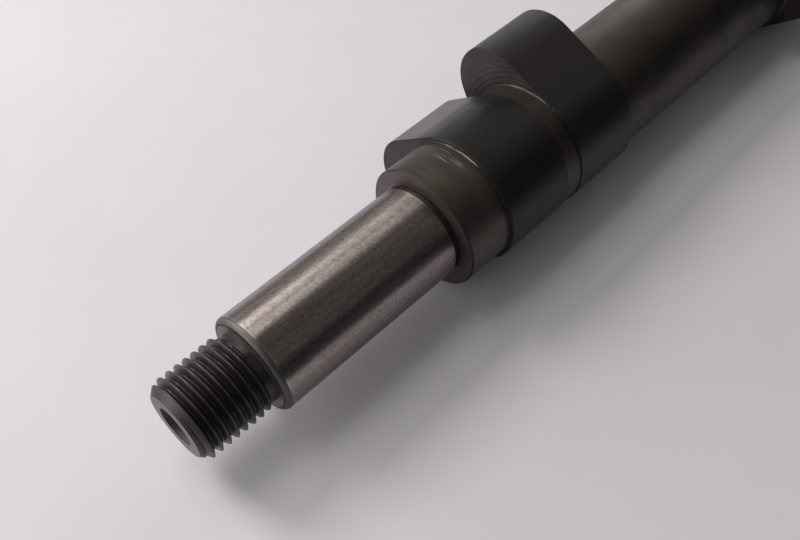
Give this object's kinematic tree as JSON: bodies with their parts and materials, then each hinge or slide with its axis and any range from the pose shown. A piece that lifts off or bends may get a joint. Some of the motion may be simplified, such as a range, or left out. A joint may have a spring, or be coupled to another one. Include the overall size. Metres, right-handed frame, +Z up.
{
  "type": "camshaft",
  "caption": "One-piece steel camshaft: threaded nose, ground front journal, collar, two neighbouring cams, plain shaft, a third cam and a rear journal; it turns to lift followers.",
  "frame": {"origin": "on the shaft's axis, at mid-length of the front journal", "axes": "+X along the shaft's axis, from the threaded nose to the rear journal; +Z up as the shaft lies at rest on the flank of its first cam; +Y to the side that cam points to"},
  "size_m": [0.1871, 0.0362, 0.0276],
  "materials": {
    "steel": "oil-black satin steel, with the front and rear journals ground bright"
  },
  "bodies": {
    "root": {"camshaft": "steel"}
  },
  "joints": []
}
